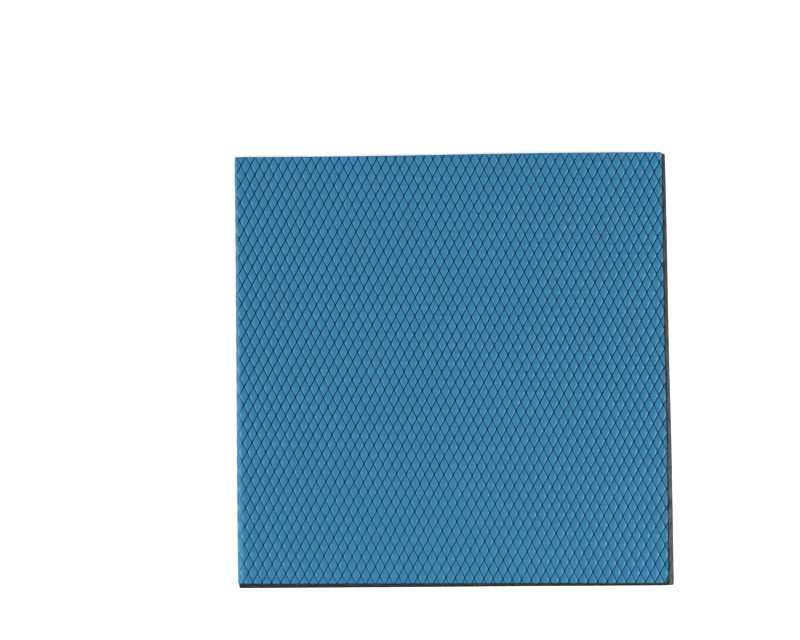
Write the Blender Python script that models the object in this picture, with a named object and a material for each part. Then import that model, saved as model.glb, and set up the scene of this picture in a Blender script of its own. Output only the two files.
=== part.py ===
"""A thermal pad sheet, as it is sold for cutting up.

A slab of soft filled silicone rubber carries an embossed release film on its
top face. Both were cut to one outline by a blade that wasn't quite upright:
the right and the front wall of the slab stand out at the foot, and its left
and back walls are upright.

Metres, +Z up, +X to the right, +Y to the back. The origin lies on the surface
that the sheet rests on, under the middle of the sheet's outline.
"""

from math import cos, pi, sin

import bmesh
import bpy
from mathutils import Vector

# Driving dimensions of the outline that slab and film are cut to
SHEET_WIDTH = 0.1000
SHEET_DEPTH = 0.1000
CORNER_RADIUS = 0.0003
BACK_RIGHT_RADIUS = 0.0009

# Thicknesses, the film's over its embossed relief
PAD_THICKNESS = 0.0020
LINER_THICKNESS = 0.00030
LINER_CLEARANCE = 0.00005

# How far the foot of a cut wall stands out from the wall's top edge
RIGHT_LEAN_AT_BACK = 0.0009
RIGHT_LEAN_AT_FRONT = 0.0015
FRONT_LEAN_AT_LEFT = 0.0013
FRONT_LEAN_AT_RIGHT = 0.0009

# Straight runs in the arc of one corner
ARC_STEPS = 4

PAD_COLOUR = (0.055, 0.058, 0.065, 1.0)
PAD_ROUGHNESS = 0.62
LINER_COLOUR = (0.041, 0.184, 0.342, 1.0)
LINER_ROUGHNESS = 0.34


def clear_scene():
    for old in list(bpy.data.objects):
        bpy.data.objects.remove(old, do_unlink=True)


def plain_material(name, colour, roughness):
    material = bpy.data.materials.new(name)
    material.use_nodes = True
    shader = material.node_tree.nodes["Principled BSDF"]
    shader.inputs["Base Color"].default_value = colour
    shader.inputs["Roughness"].default_value = roughness
    shader.inputs["Metallic"].default_value = 0.0
    return material


def top_corners():
    """The corners of the cut outline, in turn from the front left one.

    The foot reaches further to the right and the front than the top does, so
    the top lies to the left and the back of the origin by half of that.
    """
    foot_right = max(RIGHT_LEAN_AT_BACK, RIGHT_LEAN_AT_FRONT)
    foot_front = max(FRONT_LEAN_AT_LEFT, FRONT_LEAN_AT_RIGHT)
    left = -(SHEET_WIDTH + foot_right) / 2
    right = left + SHEET_WIDTH
    back = (SHEET_DEPTH + foot_front) / 2
    front = back - SHEET_DEPTH
    return [
        Vector((left, front)),
        Vector((right, front)),
        Vector((right, back)),
        Vector((left, back)),
    ]


def foot_corners():
    """The corners of the slab's foot, each moved out by the walls' leans."""
    front_left, front_right, back_right, back_left = top_corners()
    return [
        front_left + Vector((0.0, -FRONT_LEAN_AT_LEFT)),
        front_right + Vector((RIGHT_LEAN_AT_FRONT, -FRONT_LEAN_AT_RIGHT)),
        back_right + Vector((RIGHT_LEAN_AT_BACK, 0.0)),
        back_left,
    ]


def corner_arc(before, corner, after, radius):
    """The points of the arc that rounds one corner, counter-clockwise."""
    to_before = (before - corner).normalized()
    to_after = (after - corner).normalized()
    half_angle = to_before.angle(to_after) / 2
    inward = (to_before + to_after).normalized()
    centre = corner + inward * (radius / sin(half_angle))
    across = Vector((-inward.y, inward.x))
    half_sweep = pi / 2 - half_angle
    points = []
    for step in range(ARC_STEPS + 1):
        turn = half_sweep * (2 * step / ARC_STEPS - 1)
        points.append(centre - radius * (cos(turn) * inward + sin(turn) * across))
    return points


def rounded_outline(corners):
    """The outline through four corners, with the arc that each of them has."""
    radii = [CORNER_RADIUS, CORNER_RADIUS, BACK_RIGHT_RADIUS, CORNER_RADIUS]
    points = []
    for place, corner in enumerate(corners):
        before = corners[place - 1]
        after = corners[(place + 1) % len(corners)]
        points += corner_arc(before, corner, after, radii[place])
    return points


def slab_between(name, foot, foot_height, top, top_height, material):
    """A closed solid with one outline at its foot and another at its top."""
    mesh = bpy.data.meshes.new(name)
    shape = bmesh.new()
    foot_ring = [shape.verts.new((*point, foot_height)) for point in foot]
    top_ring = [shape.verts.new((*point, top_height)) for point in top]
    shape.faces.new(list(reversed(foot_ring)))
    shape.faces.new(top_ring)
    for place, low in enumerate(foot_ring):
        following = (place + 1) % len(foot_ring)
        shape.faces.new((low, foot_ring[following], top_ring[following], top_ring[place]))
    shape.to_mesh(mesh)
    shape.free()
    mesh.materials.append(material)
    piece = bpy.data.objects.new(name, mesh)
    bpy.context.scene.collection.objects.link(piece)


def make_thermal_pad():
    """The silicone slab, from the surface that it lies on up to the film."""
    material = plain_material("filled_silicone", PAD_COLOUR, PAD_ROUGHNESS)
    foot = rounded_outline(foot_corners())
    top = rounded_outline(top_corners())
    slab_between("thermal_pad", foot, 0.0, top, PAD_THICKNESS, material)


def make_embossed_liner():
    """The release film over its relief, cut flush with the slab's top edge."""
    material = plain_material("release_film", LINER_COLOUR, LINER_ROUGHNESS)
    outline = rounded_outline(top_corners())
    underside = PAD_THICKNESS + LINER_CLEARANCE
    upper_side = underside + LINER_THICKNESS
    slab_between("embossed_liner", outline, underside, outline, upper_side, material)


clear_scene()
make_thermal_pad()
make_embossed_liner()
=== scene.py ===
"""The looks of a thermal pad sheet: an embossed blue release film on a dark slab.

The slab and the film were cut together out of soft stock, so their edges are
drawn down a little where the blade went in, most of all along the left. The
film is embossed with a net of diamonds. It lies on the slab along the lines of
the net, and stands off it in a hollow pillow inside each diamond.

Metres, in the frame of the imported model: +X right, +Y back, +Z up.
"""

from math import cos, pi, radians, sin

import bmesh
import bpy
import numpy as np
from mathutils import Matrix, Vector, noise


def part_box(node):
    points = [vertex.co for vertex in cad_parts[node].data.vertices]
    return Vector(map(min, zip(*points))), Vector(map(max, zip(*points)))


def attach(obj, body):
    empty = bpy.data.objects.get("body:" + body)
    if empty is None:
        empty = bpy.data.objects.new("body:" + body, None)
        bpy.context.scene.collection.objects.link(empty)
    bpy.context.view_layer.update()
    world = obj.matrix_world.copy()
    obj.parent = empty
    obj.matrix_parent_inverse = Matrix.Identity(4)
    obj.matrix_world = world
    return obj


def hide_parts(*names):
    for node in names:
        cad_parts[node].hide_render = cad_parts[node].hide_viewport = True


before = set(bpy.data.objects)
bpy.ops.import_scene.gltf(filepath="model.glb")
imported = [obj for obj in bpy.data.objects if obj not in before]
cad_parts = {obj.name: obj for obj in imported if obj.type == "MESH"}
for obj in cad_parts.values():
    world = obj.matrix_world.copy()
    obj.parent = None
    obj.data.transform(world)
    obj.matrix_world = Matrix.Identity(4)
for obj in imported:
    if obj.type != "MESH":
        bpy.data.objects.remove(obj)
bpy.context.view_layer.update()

MM = 0.001

# Camera: above the sheet, a little tilted, as the photograph was taken
CAMERA_PLACE = (6.13 * MM, -2.06 * MM, 443.34 * MM)
CAMERA_TURN = (radians(1.80), radians(2.40), radians(-0.537))
LENS_MM = 85
SENSOR_MM = 36

# Outline of the film and of the slab's top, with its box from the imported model
film_low, film_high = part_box("embossed_liner")
_, pad_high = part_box("thermal_pad")
WIDTH = film_high.x - film_low.x
DEPTH = film_high.y - film_low.y
MIDDLE_X = (film_low.x + film_high.x) / 2
MIDDLE_Y = (film_low.y + film_high.y) / 2
PAD_TOP = pad_high.z
CORNER_RADIUS = 0.3 * MM
BACK_RIGHT_RADIUS = 0.45 * MM

# How far each cut edge wanders outwards: its tilt, and its single and double wave
LEFT_WANDER = (0.10 * MM, 0.05 * MM, 0.02 * MM)
RIGHT_WANDER = (-0.07 * MM, 0.10 * MM, -0.02 * MM)
FRONT_WANDER = (0.14 * MM, 0.01 * MM, -0.01 * MM)
BACK_WANDER = (-0.14 * MM, -0.12 * MM, 0.0)

# How far the foot of a cut wall stands out at the wall's two ends, how much the
# right one bulges in the middle of its back half, and how the walls flare
RIGHT_LEAN_AT_BACK = 0.98 * MM
RIGHT_LEAN_AT_FRONT = 1.57 * MM
RIGHT_LEAN_BULGE = 0.15 * MM
FRONT_LEAN_AT_LEFT = 1.36 * MM
FRONT_LEAN_AT_RIGHT = 0.90 * MM
WALL_FLARE = 1.4

# How much squarer the foot's front corners are than its back right one
FRONT_SQUARENESS = 1.4

# The waver of the cut walls: how far it goes, how many waves it has in a metre
# and from foot to top, and how steeply it grows from the foot upwards
WAVER = 0.06 * MM
WAVES_ALONG = 300.0
WAVES_UP = 6.0
WAVER_GROWTH = 8.0

# The slab's mesh: the spacing of its points round the outline, the steps in a
# corner and up a wall, and how far in each ring of points on its top lies
RIM_SPACING = 0.8 * MM
CORNER_STEPS = 4
WALL_STEPS = 12
TOP_RINGS = (0.08 * MM, 0.18 * MM, 0.35 * MM, 0.70 * MM)

# The net: a diamond's size, how far rows and columns are turned, and where the
# sheet's middle lies in the net, in diamonds
DIAMOND_WIDTH = 2.199 * MM
DIAMOND_HEIGHT = 4.337 * MM
ROW_TURN = radians(-1.682)
COLUMN_TURN = radians(-2.001)
NET_SHIFT_ACROSS = -0.165
NET_SHIFT_DOWN = -0.238

# The film's relief
FILM_GAUGE = 0.13 * MM
FILM_CLEARANCE = 0.03 * MM
RELIEF = 0.19 * MM
GROOVE_HALF_WIDTH = 0.15 * MM
SHOULDER_WIDTH = 0.85 * MM
TOP_ROWS = 5
UNDERSIDE_ROWS = 3
LINES_EACH_WAY = 36

# Where the rows of the mesh gather along a line: the share of the gap between
# two lines that row number n stands at is GATHER_SHARE * (n / rows) ** GATHER_POWER
GATHER_SHARE = 0.716
GATHER_POWER = 1.369

# A mesh face with less than this share of its corners inside the outline is
# dropped, and points that lie closer together than this distance become one
LEAST_SHARE_INSIDE = 0.01
MERGE_DISTANCE = 0.002 * MM

# How far inside a face, as a share of the way to its middle, its slope is read,
# and how far to each side of that place
NORMAL_INSET = 0.15
SLOPE_STEP = 0.01 * MM

# How the blade drew the edges down, and pushed the pillows out over the cut
LEFT_ROLL_WIDTH = 0.80 * MM
LEFT_ROLL_DROP = 0.10 * MM
EDGE_ROLL_WIDTH = 0.30 * MM
EDGE_ROLL_DROP = 0.02 * MM
PILLOW_OVERHANG = 0.05 * MM

# Width of the strip along the left where the film has let go of the slab, and
# the shares of it at which its hold begins again and over which it grows
LOOSE_AT_BACK = 0.5 * MM
LOOSE_AT_FRONT = 1.7 * MM
HOLD_BEGINS = 0.5
HOLD_GROWS_OVER = 0.6

# Colours of the film. Of a pair, the second is the lighter shade
LINE_AT_FRONT = (0.0, 0.054, 0.130, 1.0)
LINE_AT_BACK = (0.0, 0.024, 0.084, 1.0)
LOOSE_LINE = (0.034, 0.170, 0.290, 1.0)
CROSSING_BLUE = (0.0, 0.020, 0.072, 1.0)
TEAL = ((0.019, 0.158, 0.281, 1.0), (0.028, 0.184, 0.326, 1.0))
VIOLET = ((0.023, 0.153, 0.285, 1.0), (0.034, 0.179, 0.331, 1.0))
LOOSE_BLUE = ((0.045, 0.205, 0.365, 1.0), (0.062, 0.245, 0.430, 1.0))
# The greyer blue of a painted reflection on the back edge's roll
BACK_EDGE_SHEEN_BLUE = (0.070, 0.140, 0.200, 1.0)

# The dark lines and the spots where two of them cross: the distance at which
# each begins to fade, the width over which it does, and how strong it is
RISING_LINE = (0.12 * MM, 0.03 * MM)
FALLING_LINE = (0.105 * MM, 0.03 * MM)
FALLING_LINE_STRENGTH = 0.90
CROSSING = (0.24 * MM, 0.14 * MM)
CROSSING_STRENGTH = 0.8

# Slow changes, each with its start and its width: the lines from their front
# colour to their back one, and the painted sheen at the right end of the back
# edge, a painted reflection on its drawn-down roll, inwards from the edge and
# to the right
CLING = (-45.0 * MM, 45.0 * MM)
BACK_EDGE_SHEEN_INWARDS = (0.12 * MM, 0.12 * MM)
BACK_EDGE_SHEEN_START = (22.0 * MM, 12.0 * MM)
BACK_EDGE_SHEEN_STRENGTH = 0.7

# The film's uneven colour: its noises, in changes to the metre, the start and
# the width of the change from its one blue to the other, and the patches' share
# in how light a blue is, which the grain makes up to 1
FILM_PATCHES = 140.0
FILM_TINTS = 550.0
FILM_GRAIN = 3000.0
TINT_CHANGE = (0.30, 0.40)
PATCH_SHARE = 0.5

# The film's fine grain and its gloss
FILM_GRAIN_HEIGHT = 0.004 * MM
FILM_ROUGHNESS = 0.23
FILM_ROUGHNESS_CHANGE = 0.04

# Colours of the slab, the second of a pair the lighter shade again. The first
# pair is the slab's own grey, the second that grey painted lighter where light
# falls on the right wall
DARK_CUT = ((0.007, 0.009, 0.010, 1.0), (0.038, 0.043, 0.045, 1.0))
# Painted light: the slab's grey as lit on the right wall
RIGHT_WALL_LIT_GREY = ((0.040, 0.043, 0.045, 1.0), (0.121, 0.129, 0.132, 1.0))
SPECK_GREY = (0.145, 0.142, 0.125, 1.0)

# The slab's noises, in changes to the metre: the blade's streaks along a wall
# and up it, the grain of the filler, and its coarser specks
STREAKS_ALONG = 400.0
STREAKS_UP = 2500.0
SLAB_GRAIN = 3500.0
SLAB_SPECKS = 2200.0

# How the slab's noises show: the streaks' share in how light it is, which the
# grain makes up to 1, and the start, the width and the strength of each change
STREAK_SHARE = 0.6
SHADE_CHANGE = (0.35, 0.30)
SPECK_CHANGE = (0.62, 0.10)
SPECK_STRENGTH = 0.5
SLAB_GRAIN_HEIGHT = 0.02 * MM
SLAB_ROUGHNESS = 0.70
SLAB_ROUGHNESS_CHANGE = 0.2

# Painted light low on the right wall: the wall is painted paler towards its
# foot, where light falls on it, and left dark just under the film's edge as a
# painted shadow. How far out from the top edge the painted light starts and
# over what width, and the width that the streaks shift that over. From front
# to back the painted light fades: the start and width of that, and how much
RIGHT_WALL_LIGHT = (0.42 * MM, 0.20 * MM)
STREAK_SHIFT = 0.7 * MM
RIGHT_WALL_LIGHT_FADES = (-35.0 * MM, 70.0 * MM)
RIGHT_WALL_LIGHT_FADES_BY = 0.45

# The floor, just under the sheet so that the two faces don't meet
FLOOR_SIZE = 3.0
FLOOR_DROP = 0.02 * MM
FLOOR_WHITE = (0.9, 0.9, 0.9, 1.0)
FLOOR_ROUGHNESS = 0.8
FLOOR_GLOW = 0.3

# The light tent: bright low down all round the sheet and dark above it, with
# the start and the width of the change, as heights in a dome of radius 1
WHITE = (1.0, 1.0, 1.0, 1.0)
TENT_RING = 0.8
TENT_TOP = 0.02
TENT_DARKENS = (0.55, 0.35)

# The softboxes: place, width and height, and how bright the face is. The gloss
# of the film shows the first two, and the fills only light it
GLOSS_LIGHTS = {
    "softbox_right": ((0.382, -0.099, 0.338), (0.32, 0.20), 4.1),
    "softbox_left": ((-0.73, -0.16, 0.56), (0.5, 0.40), 3.4),
}
FILL_LIGHTS = {
    "fill_right": ((0.52, 0.0, 0.74), (0.5, 0.5), 2.0),
    "fill_left": ((-0.52, 0.0, 0.74), (0.5, 0.5), 2.0),
    "fill_front": ((0.0, -0.52, 0.74), (0.5, 0.5), 2.6),
    "fill_back": ((0.0, 0.52, 0.74), (0.5, 0.5), 1.4),
}


class Socket:
    """A number's socket in a node tree: Python's operators add Math nodes."""

    def __init__(self, tree, end):
        self.tree = tree
        self.end = end

    def __add__(self, other):
        return self.tree.maths("ADD", self, other)

    def __radd__(self, other):
        return self.tree.maths("ADD", other, self)

    def __sub__(self, other):
        return self.tree.maths("SUBTRACT", self, other)

    def __rsub__(self, other):
        return self.tree.maths("SUBTRACT", other, self)

    def __mul__(self, other):
        return self.tree.maths("MULTIPLY", self, other)

    def __rmul__(self, other):
        return self.tree.maths("MULTIPLY", other, self)

    def __truediv__(self, other):
        return self.tree.maths("DIVIDE", self, other)

    def __pow__(self, other):
        return self.tree.maths("POWER", self, other)

    def __abs__(self):
        return self.tree.maths("ABSOLUTE", self)

    def __lt__(self, other):
        return self.tree.maths("LESS_THAN", self, other)

    def __gt__(self, other):
        return self.tree.maths("GREATER_THAN", self, other)


class Tree:
    """Adds nodes to a shader tree or to a tree of geometry nodes."""

    def __init__(self, node_tree):
        self.node_tree = node_tree

    def node(self, kind, settings=None, sockets=None, output=0):
        """Adds a node, and gives the socket of one of its outputs."""
        made = self.node_tree.nodes.new(kind)
        for name, value in (settings or {}).items():
            setattr(made, name, value)
        for name, value in (sockets or {}).items():
            self.feed(made.inputs[name], value)
        return Socket(self, made.outputs[output])

    def feed(self, end, value):
        """Links a socket to an input, or sets the input to a value."""
        if isinstance(value, Socket):
            self.node_tree.links.new(value.end, end)
        else:
            end.default_value = value

    def maths(self, operation, *values):
        return self.node("ShaderNodeMath", {"operation": operation}, dict(enumerate(values)))

    def split(self, place):
        """The X, Y and Z of a place."""
        parts = self.node("ShaderNodeSeparateXYZ", sockets={0: place}).end.node
        return [Socket(self, end) for end in parts.outputs]

    def place(self, x, y, z):
        return self.node("ShaderNodeCombineXYZ", sockets={0: x, 1: y, 2: z})

    def noise(self, place, scale, detail=2.0):
        """Smooth noise, about 0.5 on average."""
        sockets = {"Vector": place, "Scale": scale, "Detail": detail}
        return self.node("ShaderNodeTexNoise", sockets=sockets)

    def mix(self, factor, first, second):
        """A colour between two colours, by the Mix node's sockets for colours."""
        sockets = {0: factor, 6: first, 7: second}
        return self.node("ShaderNodeMix", {"data_type": "RGBA"}, sockets, output=2)

    def bump(self, height, distance):
        """A normal that is tilted as if the surface rose by distance times height."""
        sockets = {"Strength": 1.0, "Distance": distance, "Height": height}
        return self.node("ShaderNodeBump", sockets=sockets)


# Maths that takes sockets of a node tree as well as plain numbers
def either(operation, plain, *values):
    for value in values:
        if isinstance(value, Socket):
            return value.tree.maths(operation, *values)
    return plain(*values)


def at_least(value, least):
    return either("MAXIMUM", np.maximum, value, least)


def at_most(value, most):
    return either("MINIMUM", np.minimum, value, most)


def nearest(value):
    return either("ROUND", np.round, value)


def sine(value):
    return either("SINE", np.sin, value)


def between(value, low, high):
    return at_most(at_least(value, low), high)


def ease(value, start, width):
    """A smooth step from 0 to 1 that begins at start and is so wide."""
    share = between((value - start) / width, 0.0, 1.0)
    return share * share * (3 - 2 * share)


# The step from a diamond to the next one in its row, and in its column
across = Vector((cos(ROW_TURN), sin(ROW_TURN))) * DIAMOND_WIDTH
down = Vector((sin(COLUMN_TURN), -cos(COLUMN_TURN))) * DIAMOND_HEIGHT
net_area = across.x * down.y - across.y * down.x
RISING_PITCH = abs(net_area) / (across - down).length
FALLING_PITCH = abs(net_area) / (across + down).length


def net_lines(x, y):
    """Counts the net's two sets of lines at a place: a whole number is on a line."""
    along = (x * down.y - y * down.x) / net_area + NET_SHIFT_ACROSS
    below = (y * across.x - x * across.y) / net_area + NET_SHIFT_DOWN
    return along + below, along - below


def net_place(rising, falling):
    """The place where two lines of the net cross."""
    along = (rising + falling) / 2 - NET_SHIFT_ACROSS
    below = (rising - falling) / 2 - NET_SHIFT_DOWN
    return along * across.x + below * down.x, along * across.y + below * down.y


def line_distances(x, y):
    """How far a place is from the nearest line of each set, in metres."""
    rising, falling = net_lines(x, y)
    to_rising = abs(rising - nearest(rising)) * RISING_PITCH
    to_falling = abs(falling - nearest(falling)) * FALLING_PITCH
    return to_rising, to_falling


def wander(share, amounts):
    """How far a cut edge wanders outwards, at a share of its length."""
    tilt, wave, double_wave = amounts
    turn = share * (2 * pi)
    return tilt * (2 * share - 1) + wave * sine(turn) + double_wave * sine(turn * 2)


def reaches(x, y):
    """How far the cut edges are from the sheet's middle: left, right, front, back."""
    deep = y / DEPTH + 0.5
    wide = x / WIDTH + 0.5
    return (
        WIDTH / 2 + wander(deep, LEFT_WANDER),
        WIDTH / 2 + wander(deep, RIGHT_WANDER),
        DEPTH / 2 + wander(wide, FRONT_WANDER),
        DEPTH / 2 + wander(wide, BACK_WANDER),
    )


def risen(distance, groove, shoulder):
    """How far the film has risen from a groove, steeply at first, from 0 to 1."""
    left_to_rise = 1 - between((distance - groove) / shoulder, 0.0, 1.0)
    return 1 - left_to_rise * left_to_rise * left_to_rise


def rolled_down(distance, width, drop):
    """How far an edge is drawn down, at some distance in from it."""
    near = at_least(1 - distance / width, 0.0)
    return near * near * drop


def edge_drop(x, y):
    """How far the blade drew the top down at a place."""
    left, right, front, back = reaches(x, y)
    drop = rolled_down(left + x, LEFT_ROLL_WIDTH, LEFT_ROLL_DROP)
    for distance in (right - x, front + y, back - y):
        drop = drop + rolled_down(distance, EDGE_ROLL_WIDTH, EDGE_ROLL_DROP)
    return drop


def pillow(x, y, groove=GROOVE_HALF_WIDTH, shoulder=SHOULDER_WIDTH):
    """How far a place stands out of the net's grooves, from 0 to 1."""
    to_rising, to_falling = line_distances(x, y)
    return risen(to_rising, groove, shoulder) * risen(to_falling, groove, shoulder)


def film_face_tree(material):
    """One face of the embossed film, as a tree of geometry nodes.

    A grid of rows, gathered along the lines of the net, is laid over the
    outline. What is outside is dropped, and what hangs over the outline is
    drawn in to it. Every point is then raised by the pillow that it is part of.
    """
    group = bpy.data.node_groups.new("embossed_film_face", "GeometryNodeTree")
    tree = Tree(group)
    defaults = {
        "Corner Radius": CORNER_RADIUS,
        "Back Right Radius": BACK_RIGHT_RADIUS,
        "Relief": RELIEF,
        "Groove Half Width": GROOVE_HALF_WIDTH,
        "Shoulder Width": SHOULDER_WIDTH,
        "Overhang": PILLOW_OVERHANG,
        "Height": 0.0,
        "Rows": TOP_ROWS,
    }
    for name, value in defaults.items():
        kind = "NodeSocketInt" if name == "Rows" else "NodeSocketFloat"
        made = group.interface.new_socket(name, in_out="INPUT", socket_type=kind)
        made.default_value = value
    group.interface.new_socket("Face", in_out="OUTPUT", socket_type="NodeSocketGeometry")
    given = group.nodes.new("NodeGroupInput")
    size = {name: Socket(tree, given.outputs[name]) for name in defaults}

    # A grid with steps of one row, and the crossing of two lines in its middle
    count = size["Rows"] * (2 * LINES_EACH_WAY)
    grid = tree.node("GeometryNodeMeshGrid", sockets={
        "Size X": count,
        "Size Y": count,
        "Vertices X": count + 1,
        "Vertices Y": count + 1,
    })
    row_x, row_y, _ = tree.split(tree.node("GeometryNodeInputPosition"))

    def gathered(row):
        step = row / size["Rows"]
        line = nearest(step)
        off = step - line
        return line + tree.maths("SIGN", off) * GATHER_SHARE * abs(off) ** GATHER_POWER

    x, y = net_place(gathered(row_x), gathered(row_y))
    laid = tree.node("GeometryNodeSetPosition", sockets={
        "Geometry": grid,
        "Position": tree.place(x, y, 0.0),
    })

    # For what is outside the rounded outline, the outline's nearest point
    x, y, _ = tree.split(tree.node("GeometryNodeInputPosition"))
    back_right = (x > 0.0) * (y > 0.0)
    radius = size["Corner Radius"] * (1 - back_right) + size["Back Right Radius"] * back_right
    left, right, front, back = reaches(x, y)
    core_x = between(x, radius - left, right - radius)
    core_y = between(y, radius - front, back - radius)
    off_x = x - core_x
    off_y = y - core_y
    off = (off_x * off_x + off_y * off_y) ** 0.5
    inside = 1 - (off > radius)
    share_inside = tree.node("GeometryNodeFieldOnDomain", {
        "data_type": "FLOAT",
        "domain": "POINT",
    }, {"Value": inside})
    kept = tree.node("GeometryNodeDeleteGeometry", {"domain": "FACE"}, {
        "Geometry": laid,
        "Selection": share_inside < LEAST_SHARE_INSIDE,
    })
    pull = inside + (1 - inside) * radius / at_least(off, radius)
    cut = tree.node("GeometryNodeSetPosition", sockets={
        "Geometry": kept,
        "Position": tree.place(core_x + off_x * pull, core_y + off_y * pull, 0.0),
    })
    merged = tree.node("GeometryNodeMergeByDistance", sockets={
        "Geometry": cut,
        "Distance": MERGE_DISTANCE,
    })

    # Pillows, pushed out a little where they meet the cut
    raised_by = pillow(x, y, size["Groove Half Width"], size["Shoulder Width"])
    height = size["Height"] + size["Relief"] * raised_by - edge_drop(x, y)
    push = size["Overhang"] * raised_by / radius
    raised = tree.node("GeometryNodeSetPosition", sockets={
        "Geometry": merged,
        "Position": tree.place(
            x + off_x * push + MIDDLE_X,
            y + at_most(off_y, 0.0) * push + MIDDLE_Y,
            height,
        ),
    })
    smooth = tree.node("GeometryNodeSetShadeSmooth", sockets={"Geometry": raised})
    real = tree.node("GeometryNodeRealizeInstances", sockets={"Geometry": smooth})
    coloured = tree.node("GeometryNodeSetMaterial", sockets={
        "Geometry": real,
        "Material": material,
    })
    result = group.nodes.new("NodeGroupOutput")
    tree.feed(result.inputs["Face"], coloured)
    return group


def mesh_from_tree(group, name, values):
    """The mesh that a tree of geometry nodes makes with these inputs."""
    holder = bpy.data.objects.new(name, bpy.data.meshes.new(name))
    bpy.context.scene.collection.objects.link(holder)
    modifier = holder.modifiers.new(name, "NODES")
    modifier.node_group = group
    for item in group.interface.items_tree:
        if item.in_out == "INPUT" and item.name in values:
            modifier[item.identifier] = values[item.name]
    finished = holder.evaluated_get(bpy.context.evaluated_depsgraph_get())
    mesh = bpy.data.meshes.new_from_object(finished)
    bpy.data.objects.remove(holder, do_unlink=True)
    return mesh


def open_rim(points):
    """The points of a face's open rim, in turn, and how far round each one is."""
    start = min((p for p in points if p.is_boundary), key=lambda p: p.co.x + p.co.y)
    rim = [start]
    lengths = [0.0]
    came_by = None
    while True:
        here = rim[-1]
        ways = [edge for edge in here.link_edges if edge.is_boundary and edge != came_by]
        if came_by is None:
            ways.sort(key=lambda edge: -edge.other_vert(here).co.x)
        came_by = ways[0]
        following = came_by.other_vert(here)
        lengths.append(lengths[-1] + (following.co.xy - here.co.xy).length)
        if following == start:
            break
        rim.append(following)
    return rim, [length / lengths[-1] for length in lengths]


def join_rims(shape, upper_points, lower_points):
    """The cut edge between the open rims of an upper and a lower face."""
    upper, upper_turns = open_rim(upper_points)
    lower, lower_turns = open_rim(lower_points)
    high = 0
    low = 0
    while high < len(upper) or low < len(lower):
        upper_here = upper[high % len(upper)]
        lower_here = lower[low % len(lower)]
        step_low = low < len(lower)
        if step_low and high < len(upper):
            step_low = lower_turns[low + 1] < upper_turns[high + 1]
        if step_low:
            low += 1
            shape.faces.new((lower_here, lower[low % len(lower)], upper_here))
        else:
            high += 1
            shape.faces.new((lower_here, upper[high % len(upper)], upper_here))


def set_film_normals(mesh, loops_on_top, loops_below):
    """Shades each face by the film's true relief, which is finer than the mesh.

    The slope is read a little inside the face at each of its corners, so that
    a groove and a shoulder that meet at a row of the mesh stay apart.
    """
    corners = np.zeros(len(mesh.loops), dtype=int)
    mesh.loops.foreach_get("vertex_index", corners)
    points = np.zeros(len(mesh.vertices) * 3)
    mesh.vertices.foreach_get("co", points)
    centres = np.zeros(len(mesh.polygons) * 3)
    mesh.polygons.foreach_get("center", centres)
    sides = np.zeros(len(mesh.polygons), dtype=int)
    mesh.polygons.foreach_get("loop_total", sides)
    places = points.reshape(-1, 3)[corners]
    inward = np.repeat(centres.reshape(-1, 3), sides, axis=0) - places
    x, y, _ = (places + inward * NORMAL_INSET).T
    x = x - MIDDLE_X
    y = y - MIDDLE_Y
    step = SLOPE_STEP

    def height(x, y):
        return RELIEF * pillow(x, y) - edge_drop(x, y)

    slope_x = (height(x + step, y) - height(x - step, y)) / (2 * step)
    slope_y = (height(x, y + step) - height(x, y - step)) / (2 * step)
    normals = np.stack([-slope_x, -slope_y, np.ones(len(x))], axis=1)
    normals[loops_on_top:] *= -1.0
    normals /= np.linalg.norm(normals, axis=1)[:, None]
    normals[loops_on_top + loops_below:] = 0.0
    mesh.normals_split_custom_set(normals)


def make_film(material):
    """The embossed film: two faces of geometry nodes, joined along the cut."""
    group = film_face_tree(material)
    underside_height = PAD_TOP + FILM_CLEARANCE
    top = mesh_from_tree(group, "film_top", {"Height": underside_height + FILM_GAUGE})
    underside = mesh_from_tree(group, "film_underside", {
        "Height": underside_height,
        "Rows": UNDERSIDE_ROWS,
    })
    shape = bmesh.new()
    shape.from_mesh(top)
    upper_points = list(shape.verts)
    shape.from_mesh(underside)
    shape.verts.ensure_lookup_table()
    lower_points = shape.verts[len(upper_points):]
    lower_faces = {face for point in lower_points for face in point.link_faces}
    bmesh.ops.reverse_faces(shape, faces=list(lower_faces))
    join_rims(shape, upper_points, lower_points)
    film = add_piece("embossed_film", shape, material, "embossed_liner")
    set_film_normals(film.data, len(top.loops), len(underside.loops))
    bpy.data.meshes.remove(top)
    bpy.data.meshes.remove(underside)


def add_piece(name, shape, material, node):
    """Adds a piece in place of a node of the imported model."""
    mesh = bpy.data.meshes.new(name)
    shape.to_mesh(mesh)
    shape.free()
    mesh.materials.clear()
    mesh.materials.append(material)
    piece = bpy.data.objects.new(name, mesh)
    bpy.context.scene.collection.objects.link(piece)
    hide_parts(node)
    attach(piece, "root")
    return piece


def outline(inset):
    """Points round the cut outline, drawn in by inset, each with its outward way."""
    corners = [
        (1, -1, CORNER_RADIUS),
        (1, 1, BACK_RIGHT_RADIUS),
        (-1, 1, CORNER_RADIUS),
        (-1, -1, CORNER_RADIUS),
    ]
    bends = []
    for number, (side_x, side_y, radius) in enumerate(corners):
        centre = Vector((side_x * (WIDTH / 2 - radius), side_y * (DEPTH / 2 - radius)))
        for step in range(CORNER_STEPS + 1):
            turn = pi / 2 * (number - 1 + step / CORNER_STEPS)
            way = Vector((cos(turn), sin(turn)))
            bends.append((centre + way * radius, way))
    points = []
    for number, (point, way) in enumerate(bends):
        following, _ = bends[(number + 1) % len(bends)]
        points.append((point, way))
        steps = max(1, round((following - point).length / RIM_SPACING))
        for step in range(1, steps):
            points.append((point.lerp(following, step / steps), way))
    wandered = []
    for point, way in points:
        left, right, front, back = reaches(point.x, point.y)
        out_x = (right if way.x > 0 else left) - WIDTH / 2
        out_y = (back if way.y > 0 else front) - DEPTH / 2
        moved = point + Vector((way.x * (out_x - inset), way.y * (out_y - inset)))
        wandered.append((moved, way))
    return wandered


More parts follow.
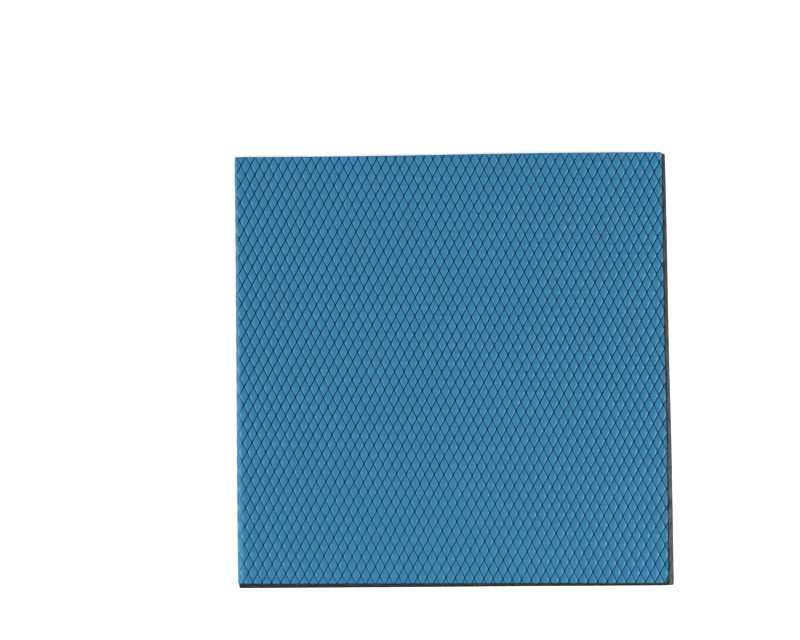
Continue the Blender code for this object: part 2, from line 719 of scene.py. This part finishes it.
def foot_reach(point, way):
    """How far the foot stands out from a point of the outline, in X and in Y."""
    wide = point.x / WIDTH + 0.5
    deep = point.y / DEPTH + 0.5
    right_lean = RIGHT_LEAN_AT_FRONT + (RIGHT_LEAN_AT_BACK - RIGHT_LEAN_AT_FRONT) * deep
    right_lean += RIGHT_LEAN_BULGE * max(0.0, -sin(2 * pi * deep))
    front_lean = FRONT_LEAN_AT_LEFT + (FRONT_LEAN_AT_RIGHT - FRONT_LEAN_AT_LEFT) * wide
    squareness = FRONT_SQUARENESS if way.y < 0 else 1.0
    reach_x = min(1.0, max(way.x, 0.0) * squareness) * right_lean
    reach_y = max(-1.0, min(way.y, 0.0) * squareness) * front_lean
    return reach_x, reach_y


def wall_ring(shape, height):
    """A ring of points round the slab's wall, at a share of the wall's height."""
    ring = []
    flare = (1 - height) ** WALL_FLARE
    for point, way in outline(0.0):
        reach_x, reach_y = foot_reach(point, way)
        waves = Vector((point.x * WAVES_ALONG, point.y * WAVES_ALONG, height * WAVES_UP))
        waver = noise.noise(waves) * (WAVER * (1 - height) * min(1.0, WAVER_GROWTH * height))
        x = point.x + (way.x * waver + reach_x * flare) + MIDDLE_X
        y = point.y + (way.y * waver + reach_y * flare) + MIDDLE_Y
        top = PAD_TOP - edge_drop(point.x, point.y)
        ring.append(shape.verts.new((x, y, top * height)))
    return ring


def top_ring(shape, inset):
    """A ring of points on the slab's top, so far in from its rim."""
    ring = []
    for point, _ in outline(inset):
        top = PAD_TOP - edge_drop(point.x, point.y)
        ring.append(shape.verts.new((point.x + MIDDLE_X, point.y + MIDDLE_Y, top)))
    return ring


def make_pad(material):
    """The silicone slab, with its drawn-down top edge and its cut walls."""
    shape = bmesh.new()
    rings = [wall_ring(shape, step / WALL_STEPS) for step in range(WALL_STEPS + 1)]
    rings += [top_ring(shape, inset) for inset in TOP_RINGS]
    for lower, upper in zip(rings, rings[1:]):
        for number, low in enumerate(lower):
            following = (number + 1) % len(lower)
            face = shape.faces.new((low, lower[following], upper[following], upper[number]))
            face.smooth = True
    shape.faces.new(list(reversed(rings[0])))
    shape.faces.new(rings[-1])
    add_piece("silicone_slab", shape, material, "thermal_pad")


def new_material(name):
    material = bpy.data.materials.new(name)
    material.use_nodes = True
    shader = material.node_tree.nodes["Principled BSDF"]
    return material, shader, Tree(material.node_tree)


def blue_film():
    """Satin blue film, dark along the lines where it clings to the slab."""
    material, shader, tree = new_material("embossed_blue_film")
    place = tree.node("ShaderNodeTexCoord", output="Object")
    x, y, _ = tree.split(place)
    x = x - MIDDLE_X
    y = y - MIDDLE_Y
    to_rising, to_falling = line_distances(x, y)
    rising_line = 1 - ease(to_rising, *RISING_LINE)
    falling_line = 1 - ease(to_falling, *FALLING_LINE)
    line = at_least(rising_line, falling_line * FALLING_LINE_STRENGTH)
    crossing = 1 - ease(to_rising + to_falling, *CROSSING)

    # The film clings less towards the front, and has let go along the left
    line_colour = tree.mix(ease(y, *CLING), LINE_AT_FRONT, LINE_AT_BACK)
    loose = LOOSE_AT_FRONT + (LOOSE_AT_BACK - LOOSE_AT_FRONT) * (y / DEPTH + 0.5)
    held = ease(x + WIDTH / 2, loose * HOLD_BEGINS, loose * HOLD_GROWS_OVER)
    line_colour = tree.mix(held, LOOSE_LINE, line_colour)

    # Thickness and stretch of the film change a little from place to place
    patches = tree.noise(place, FILM_PATCHES)
    grain = tree.noise(place, FILM_GRAIN)
    tint = ease(tree.noise(place, FILM_TINTS, detail=1.0), *TINT_CHANGE)
    shade = patches * PATCH_SHARE + grain * (1 - PATCH_SHARE)
    pillow_colour = tree.mix(tint, tree.mix(shade, *TEAL), tree.mix(shade, *VIOLET))
    pillow_colour = tree.mix(held, tree.mix(shade, *LOOSE_BLUE), pillow_colour)
    colour = tree.mix(line, pillow_colour, line_colour)
    colour = tree.mix(crossing * held * CROSSING_STRENGTH, colour, CROSSING_BLUE)

    # Painted reflection: the right end of the back edge, where it rolls down, is
    # painted greyer, as if it mirrored the light
    back_edge_sheen = (1 - ease(DEPTH / 2 - y, *BACK_EDGE_SHEEN_INWARDS)) * ease(x, *BACK_EDGE_SHEEN_START)
    colour = tree.mix(back_edge_sheen * BACK_EDGE_SHEEN_STRENGTH, colour, BACK_EDGE_SHEEN_BLUE)
    tree.feed(shader.inputs["Base Color"], colour)
    roughness = FILM_ROUGHNESS + patches * FILM_ROUGHNESS_CHANGE
    tree.feed(shader.inputs["Roughness"], roughness)
    tree.feed(shader.inputs["Normal"], tree.bump(grain, FILM_GRAIN_HEIGHT))
    return material


def grey_silicone():
    """Filled silicone rubber, dark grey, with the blade's streaks on its walls and painted
    light on its right wall.
    """
    material, shader, tree = new_material("grey_filled_silicone")
    place = tree.node("ShaderNodeTexCoord", output="Object")
    x, y, z = tree.split(place)
    streak_place = tree.place(x * STREAKS_ALONG, y * STREAKS_ALONG, z * STREAKS_UP)
    streaks = tree.noise(streak_place, scale=1.0)
    grain = tree.noise(place, SLAB_GRAIN, detail=3.0)
    specks = ease(tree.noise(place, SLAB_SPECKS, detail=1.0), *SPECK_CHANGE)

    # Painted light: the right wall is painted paler towards its foot, where light
    # falls on it, and left dark just under the film's edge as a painted shadow;
    # the blade's streaks break up the border, and the painted light fades to the back
    _, right, _, _ = reaches(x - MIDDLE_X, y - MIDDLE_Y)
    beyond_right = x - MIDDLE_X - right
    painted_light = ease(beyond_right + (streaks - 0.5) * STREAK_SHIFT, *RIGHT_WALL_LIGHT)
    painted_light = painted_light * (1 - ease(y, *RIGHT_WALL_LIGHT_FADES) * RIGHT_WALL_LIGHT_FADES_BY)
    shade = ease(streaks * STREAK_SHARE + grain * (1 - STREAK_SHARE), *SHADE_CHANGE)
    colour = tree.mix(painted_light, tree.mix(shade, *DARK_CUT), tree.mix(shade, *RIGHT_WALL_LIT_GREY))
    colour = tree.mix(specks * SPECK_STRENGTH, colour, SPECK_GREY)
    tree.feed(shader.inputs["Base Color"], colour)
    roughness = SLAB_ROUGHNESS + grain * SLAB_ROUGHNESS_CHANGE
    tree.feed(shader.inputs["Roughness"], roughness)
    shader.inputs["Specular IOR Level"].default_value = 0.0
    tree.feed(shader.inputs["Normal"], tree.bump(streaks + grain, SLAB_GRAIN_HEIGHT))
    return material


def make_floor():
    mesh = bpy.data.meshes.new("floor")
    shape = bmesh.new()
    bmesh.ops.create_grid(shape, x_segments=1, y_segments=1, size=FLOOR_SIZE)
    shape.to_mesh(mesh)
    shape.free()
    floor = bpy.data.objects.new("floor", mesh)
    floor.location.z = -FLOOR_DROP
    material, shader, _ = new_material("pale_floor")
    shader.inputs["Base Color"].default_value = FLOOR_WHITE
    shader.inputs["Roughness"].default_value = FLOOR_ROUGHNESS
    shader.inputs["Emission Color"].default_value = WHITE
    shader.inputs["Emission Strength"].default_value = FLOOR_GLOW
    mesh.materials.append(material)
    bpy.context.scene.collection.objects.link(floor)


def make_camera():
    data = bpy.data.cameras.new("camera")
    data.lens = LENS_MM
    data.sensor_width = SENSOR_MM
    data.clip_start = 0.01
    data.clip_end = 20.0
    camera = bpy.data.objects.new("camera", data)
    camera.location = CAMERA_PLACE
    camera.rotation_euler = CAMERA_TURN
    bpy.context.scene.collection.objects.link(camera)
    bpy.context.scene.camera = camera


def make_softbox(name, place, size, radiance, seen_in_gloss):
    """A rectangular light that faces the sheet, by how bright its face is."""
    wide, high = size
    data = bpy.data.lights.new(name, "AREA")
    data.shape = "RECTANGLE"
    data.size = wide
    data.size_y = high
    data.energy = radiance * pi * wide * high
    light = bpy.data.objects.new(name, data)
    light.location = place
    light.rotation_euler = (-Vector(place)).to_track_quat("-Z", "Y").to_euler()
    light.visible_glossy = seen_in_gloss
    bpy.context.scene.collection.objects.link(light)


def make_light():
    """The light tent, as the world's light, and the softboxes in it."""
    world = bpy.data.worlds.new("light_tent")
    world.use_nodes = True
    bpy.context.scene.world = world
    tree = Tree(world.node_tree)
    background = world.node_tree.nodes["Background"]
    background.inputs["Color"].default_value = WHITE
    direction = tree.node("ShaderNodeTexCoord")
    _, _, up = tree.split(direction)
    strength = TENT_TOP + (TENT_RING - TENT_TOP) * (1 - ease(up, *TENT_DARKENS))
    tree.feed(background.inputs["Strength"], strength)
    for name, values in GLOSS_LIGHTS.items():
        make_softbox(name, *values, seen_in_gloss=True)
    for name, values in FILL_LIGHTS.items():
        make_softbox(name, *values, seen_in_gloss=False)
    settings = bpy.context.scene.view_settings
    settings.view_transform = "Standard"
    settings.look = "None"


make_film(blue_film())
make_pad(grey_silicone())
make_floor()
make_camera()
make_light()
